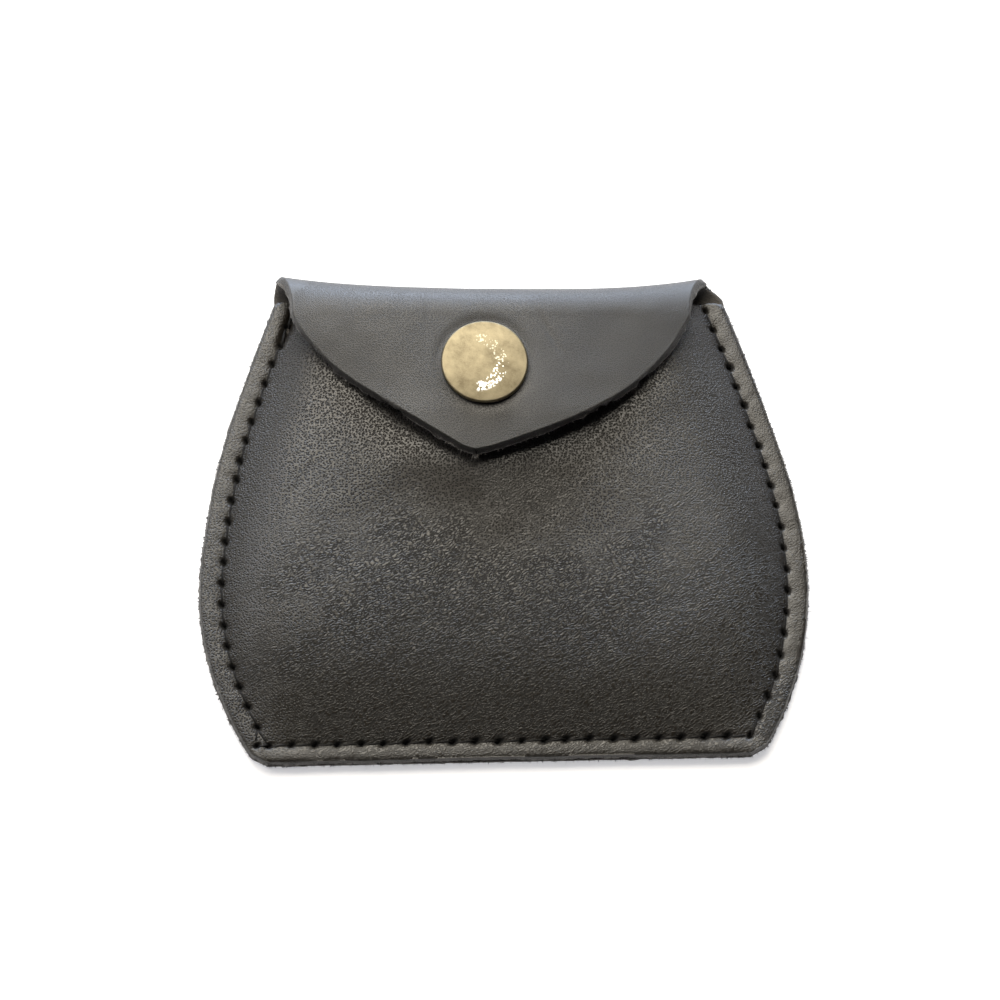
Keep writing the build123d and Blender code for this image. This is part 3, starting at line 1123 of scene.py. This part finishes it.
def painted_glint_crescent(tree, mm):
    """A painted highlight: a crescent of small pale specks on the right of the cap, whiter towards its lower
    end, put into the colour as a reflection of the light.
    """
    local = vectors(tree, "SUBTRACT", mm, (*snap, 0))
    flat = vectors(tree, "MULTIPLY", local, (1, 1, 0))
    inner = vectors(tree, "DISTANCE", flat, (-1.7, -0.2, 0))
    outer = vectors(tree, "DISTANCE", flat, (-1.1, -0.2, 0))
    band = maths(tree, "MULTIPLY", remap(tree, inner, 2.9, 3.4), remap(tree, outer, 4.6, 4.1))
    across = put(tree, "ShaderNodeSeparateXYZ", {"Vector": flat})
    band = maths(tree, "MULTIPLY", band, remap(tree, across.outputs["X"], -1.4, -0.9))
    size = remap(tree, noise(tree, local, 0.9, 2.0), 0.35, 0.65, 0.20, 0.46)
    size = plus(tree, size, remap(tree, across.outputs["Y"], -2.2, -3.6, 0.0, 0.22))
    dots = remap(tree, maths(tree, "SUBTRACT", size, cells(tree, local, 2.8, 1.0, "3D")), 0.0, 0.06)
    ends = remap(tree, across.outputs["Y"], 2.4, -1.6)
    shades = ramp(tree, ends, [
        (0.0, (0.33, 0.31, 0.235)), (0.6, (0.44, 0.42, 0.34)), (1.0, (0.82, 0.81, 0.77)),
    ])
    return maths(tree, "MULTIPLY", dots, band), shades


def metal(name, stops, rough_low, rough_high, wear_scale, relief, with_glint=False):
    """Metal with tarnish in patches, fine scratches and tiny pits; with_glint adds a painted highlight
    crescent to the colour.
    """
    m, tree, shader = blank_material(name)
    at = put(tree, "ShaderNodeTexCoord", {}).outputs["Object"]
    mm = vectors(tree, "SCALE", at, 1 / MM)
    blotch = noise(tree, mm, wear_scale, 6.0, 0.68)
    speck = noise(tree, mm, 7.0, 3.0, 0.6)
    scratch = noise(tree, placed(tree, mm, 31, (0.5, 9, 1)), 1.4, 3.0, 0.6)
    tone = plus(tree, maths(tree, "MULTIPLY", blotch, 0.7), speck, 0.2)
    tone = plus(tree, tone, scratch, 0.12)
    colour, rough = ramp(tree, tone, stops), remap(tree, tone, 0.3, 0.7, rough_high, rough_low)
    # Painted highlight: the crescent's specks replace the metal's colour with pale, nearly white ones.
    if with_glint:
        glint_specks, shades = painted_glint_crescent(tree, mm)
        colour = mixed_colour(tree, glint_specks, colour, shades)
    dress(tree, shader, colour, rough, plus(tree, speck, scratch, 0.5), relief, 0.6)
    fill(tree, shader, {"Metallic": 1.0})
    return m


# ------ the snap

CAP_ROLL = 0.30
CAP_DOME = 0.26


def snap_cap(material):
    """The cap: a low dome that rolls over into an upright rim."""
    r, low, high = (cap_high[0] - cap_low[0]) / 2, cap_low[2], cap_high[2]
    radii = np.linspace(0, 1, 34) ** 0.8 * (r - CAP_ROLL)
    dome = [(q, high - CAP_DOME * (q / r) ** 2.2) for q in radii]
    centre_r, centre_z = r - CAP_ROLL, dome[-1][1] - CAP_ROLL
    turns = np.linspace(math.pi / 2, 0, 9)[1:]
    roll = [(centre_r + CAP_ROLL * math.cos(a), centre_z + CAP_ROLL * math.sin(a)) for a in turns]
    under = low + 0.15
    rim = [(r - 0.01, low + 0.10), (r - 0.10, low), (r - 0.50, low), (r - 0.60, under), (0.0, under)]
    obj = lathe("snap_cap", (dome + roll + rim)[::-1], material, snap, 192)
    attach(obj, "flap")
    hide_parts("cap_shell")


# ------ studio

FLOOR_HALF = 3.0
FLOOR_DROP = 0.00006


def studio():
    """A pale floor just below the pouch, a pale sky and three soft lights."""
    floor_mesh = bpy.data.meshes.new("floor")
    corners = [(-1, -1), (1, -1), (1, 1), (-1, 1)]
    floor_mesh.from_pydata([(FLOOR_HALF * x, FLOOR_HALF * y, 0) for x, y in corners], [], [(0, 1, 2, 3)])
    floor = bpy.data.objects.new("floor", floor_mesh)
    floor.location.z = -FLOOR_DROP
    bpy.context.scene.collection.objects.link(floor)
    m, tree, shader = blank_material("studio_floor")
    tone = noise(tree, put(tree, "ShaderNodeTexCoord", {}).outputs["Object"], 3.0, 2.0)
    colour = ramp(tree, tone, [(0.3, (0.93, 0.93, 0.945)), (0.7, (0.95, 0.95, 0.96))])
    fill(tree, shader, {
        "Base Color": colour, "Roughness": 0.9, "Specular IOR Level": 0.1,
        "Emission Color": (0.97, 0.97, 1.0, 1), "Emission Strength": 0.50,
    })
    floor_mesh.materials.append(m)

    world = bpy.data.worlds.new("studio")
    world.use_nodes = True
    bpy.context.scene.world = world
    background = world.node_tree.nodes["Background"]
    fill(world.node_tree, background, {"Color": (0.97, 0.975, 1.0, 1), "Strength": 0.04})

    area_light("key_overhead", (-0.12, 0.58, 0.80), (0.0, 0.0, 0), 0.90, 0.75, 15.0, (1.0, 0.94, 0.82))
    area_light("far_edge", (0.0, 0.95, 0.18), (0.0, 0.0, 0), 1.2, 0.24, 18.0, (0.68, 0.80, 1.0))
    area_light("side_left", (-0.70, 0.20, 0.60), (0.0, 0.0, 0), 0.40, 0.40, 2.1, (1.0, 0.97, 0.95))


def area_light(name, at, to, width, height, power, colour):
    light = bpy.data.lights.new(name, "AREA")
    light.shape = "RECTANGLE"
    light.size, light.size_y = width, height
    light.energy = power
    light.color = colour
    obj = bpy.data.objects.new(name, light)
    obj.location = at
    obj.rotation_euler = (Vector(to) - Vector(at)).to_track_quat("-Z", "Y").to_euler()
    bpy.context.scene.collection.objects.link(obj)


def camera():
    """Above the pouch, a little below it and to one side, level with its long edge."""
    tilt, turn, distance = math.radians(19), math.radians(9), 0.380
    target = Vector((-0.0004, 0.0040, 0))
    back = Vector((-math.sin(tilt) * math.sin(turn), -math.sin(tilt) * math.cos(turn), math.cos(tilt)))
    right = (Vector((1, 0, 0)) - back * back.x).normalized()
    up = back.cross(right)
    data = bpy.data.cameras.new("camera")
    data.sensor_width = 36
    data.lens = 94.15
    data.clip_start = 0.01
    obj = bpy.data.objects.new("camera", data)
    turned_to = Matrix((right, up, back)).transposed().to_4x4()
    turned_to.translation = target + back * distance
    obj.matrix_world = turned_to
    bpy.context.scene.collection.objects.link(obj)
    bpy.context.scene.camera = obj
    bpy.context.scene.view_settings.view_transform = "Standard"


# ------ making

camera()
studio()

LEATHER_BASE = (0.0108, 0.0082, 0.0051)
FLAP_BASE = (0.0130, 0.0112, 0.0092)
cut_edge = edge_leather()
flesh_side = flesh_leather()
front_grain = grain_leather("black_leather_front", 0.54, 0.070, LEATHER_BASE, 0.76, 1.0, 0.36)
flap_grain = grain_leather("black_leather_flap", 0.36, 0.022, FLAP_BASE, 0.50, 0.25, 0.46)
front_edge = front_piece([front_grain, cut_edge, flesh_side])
back_edge = back_piece([flap_grain, cut_edge, flesh_side])
flap_edge = flap_piece([flap_grain, cut_edge, flesh_side])

threads(thread_material())
hair = fibre_material("leather_fibre", 1.0)
tufts = fibre_material("leather_tuft", 2.4)
fibres("front_edge_fibres", front_edge, lambda x, y, z: y < mouth_y - 1, "pouch", hair, 950, 71)
fibres(
    "back_edge_fibres", back_edge, lambda x, y, z: y < BEND_START_LOW - 1, "pouch", hair, 1000, 73,
    widths=(0.05, 0.17),
)
fibres(
    "fold_end_fibres", back_edge, lambda x, y, z: (y > 34.6) & (x > 28) & (z > 2), "fold", hair, 160, 77,
)
fibres(
    "flap_edge_fibres", flap_edge, lambda x, y, z: y < 23.5, "flap", tufts, 900, 75,
    roots=(-0.62, -0.25), widths=(0.05, 0.13),
)

brass_stops = [(0.30, (0.085, 0.058, 0.030)), (0.47, (0.20, 0.165, 0.105)), (0.75, (0.30, 0.255, 0.17))]
cap_stops = [(0.30, (0.100, 0.080, 0.048)), (0.50, (0.165, 0.140, 0.091)), (0.75, (0.215, 0.186, 0.123))]
steel_stops = [(0.35, (0.28, 0.27, 0.26)), (0.6, (0.52, 0.51, 0.50))]
brass = metal("antique_brass", brass_stops, 0.26, 0.48, 0.75, 0.012)
steel = metal("spring_steel", steel_stops, 0.22, 0.40, 1.1, 0.008)
finishes = {node: brass for node in ("cap_post", "socket_cup", "socket_plate", "stud", "stud_eyelet")}
for node, finish in {**finishes, "socket_spring": steel}.items():
    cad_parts[node].data.materials.clear()
    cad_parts[node].data.materials.append(finish)
# The cap's colour carries a painted highlight crescent.
snap_cap(metal("antique_brass_cap", cap_stops, 0.36, 0.50, 0.42, 0.006, with_glint=True))

bpy.context.view_layer.update()
